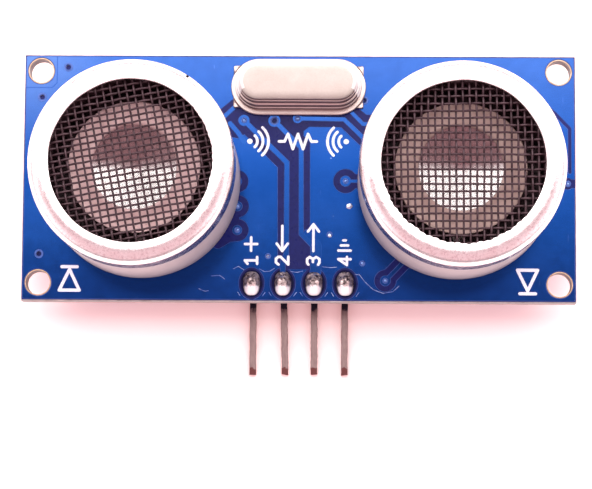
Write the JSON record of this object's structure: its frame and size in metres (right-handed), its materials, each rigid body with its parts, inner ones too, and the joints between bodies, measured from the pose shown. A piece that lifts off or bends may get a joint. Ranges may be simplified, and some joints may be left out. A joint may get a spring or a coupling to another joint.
{
  "type": "ultrasonic distance sensor",
  "caption": "Flat blue circuit board with two round mesh-fronted ultrasonic transducers, a metal crystal can and a right-angle pin header; it measures distance by echo.",
  "frame": {"origin": "centre of the footprint (bounding box) on the surface that the sensor lies on, which its pins and its transducer leads touch", "axes": "+Z is the sensing direction, out of the transducers; +X runs along the board, from the transmitter to the receiver; +Y points to the board edge with the crystal, and the header pins point to -Y"},
  "size_m": [0.0452, 0.026, 0.0169],
  "materials": {
    "board_mask": "gloss",
    "can_metal": "satin",
    "mesh_wire": "satin",
    "cone_metal": "satin",
    "plate_brass": "satin",
    "piezo_ceramic": "matte",
    "silicone": "matte",
    "black_plastic": "matte",
    "tinned_wire": "satin",
    "crystal_metal": "polished",
    "quartz": "polished",
    "pin_metal": "satin",
    "solder": "polished",
    "chip_black": "satin",
    "resistor_black": "satin",
    "capacitor_tan": "matte"
  },
  "bodies": {
    "root": {"circuit_board": "board_mask", "tx_housing": "can_metal", "tx_mesh": "mesh_wire", "tx_base_cup": "black_plastic", "tx_seal_ring": "silicone", "tx_terminal_pos": "tinned_wire", "tx_lead_wire_pos": "tinned_wire", "tx_terminal_neg": "tinned_wire", "tx_lead_wire_neg": "tinned_wire", "rx_housing": "can_metal", "rx_mesh": "mesh_wire", "rx_base_cup": "black_plastic", "rx_seal_ring": "silicone", "rx_terminal_pos": "tinned_wire", "rx_lead_wire_pos": "tinned_wire", "rx_terminal_neg": "tinned_wire", "rx_lead_wire_neg": "tinned_wire", "crystal_can": "crystal_metal", "crystal_base": "crystal_metal", "crystal_lead_left": "tinned_wire", "crystal_lead_right": "tinned_wire", "crystal_quartz_blank": "quartz", "header_body": "black_plastic", "header_pin_1": "pin_metal", "solder_joint_1": "solder", "header_pin_2": "pin_metal", "solder_joint_2": "solder", "header_pin_3": "pin_metal", "solder_joint_3": "solder", "header_pin_4": "pin_metal", "solder_joint_4": "solder", "driver_chip": "chip_black", "controller_chip": "chip_black", "amplifier_chip": "chip_black", "transistor": "chip_black", "resistor_1": "resistor_black", "resistor_2": "resistor_black", "resistor_3": "resistor_black", "resistor_4": "resistor_black", "resistor_5": "resistor_black", "resistor_6": "resistor_black", "resistor_7": "resistor_black", "resistor_8": "resistor_black", "capacitor_1": "capacitor_tan", "capacitor_2": "capacitor_tan", "capacitor_3": "capacitor_tan", "capacitor_4": "capacitor_tan", "capacitor_5": "capacitor_tan", "capacitor_6": "capacitor_tan", "capacitor_7": "capacitor_tan", "capacitor_8": "capacitor_tan"},
    "tx_vibrator": {"tx_cone": "cone_metal", "tx_diaphragm": "plate_brass", "tx_piezo_disc": "piezo_ceramic"},
    "rx_vibrator": {"rx_cone": "cone_metal", "rx_diaphragm": "plate_brass", "rx_piezo_disc": "piezo_ceramic"}
  },
  "joints": [
    {"name": "tx_vibration", "type": "slide", "parent": "root", "child": "tx_vibrator", "axis": [0, 0, 1], "range_m": [-0.000008, 0.000008], "stiffness_N_per_m": 2000},
    {"name": "rx_vibration", "type": "slide", "parent": "root", "child": "rx_vibrator", "axis": [0, 0, 1], "range_m": [-0.000008, 0.000008], "stiffness_N_per_m": 2000}
  ]
}
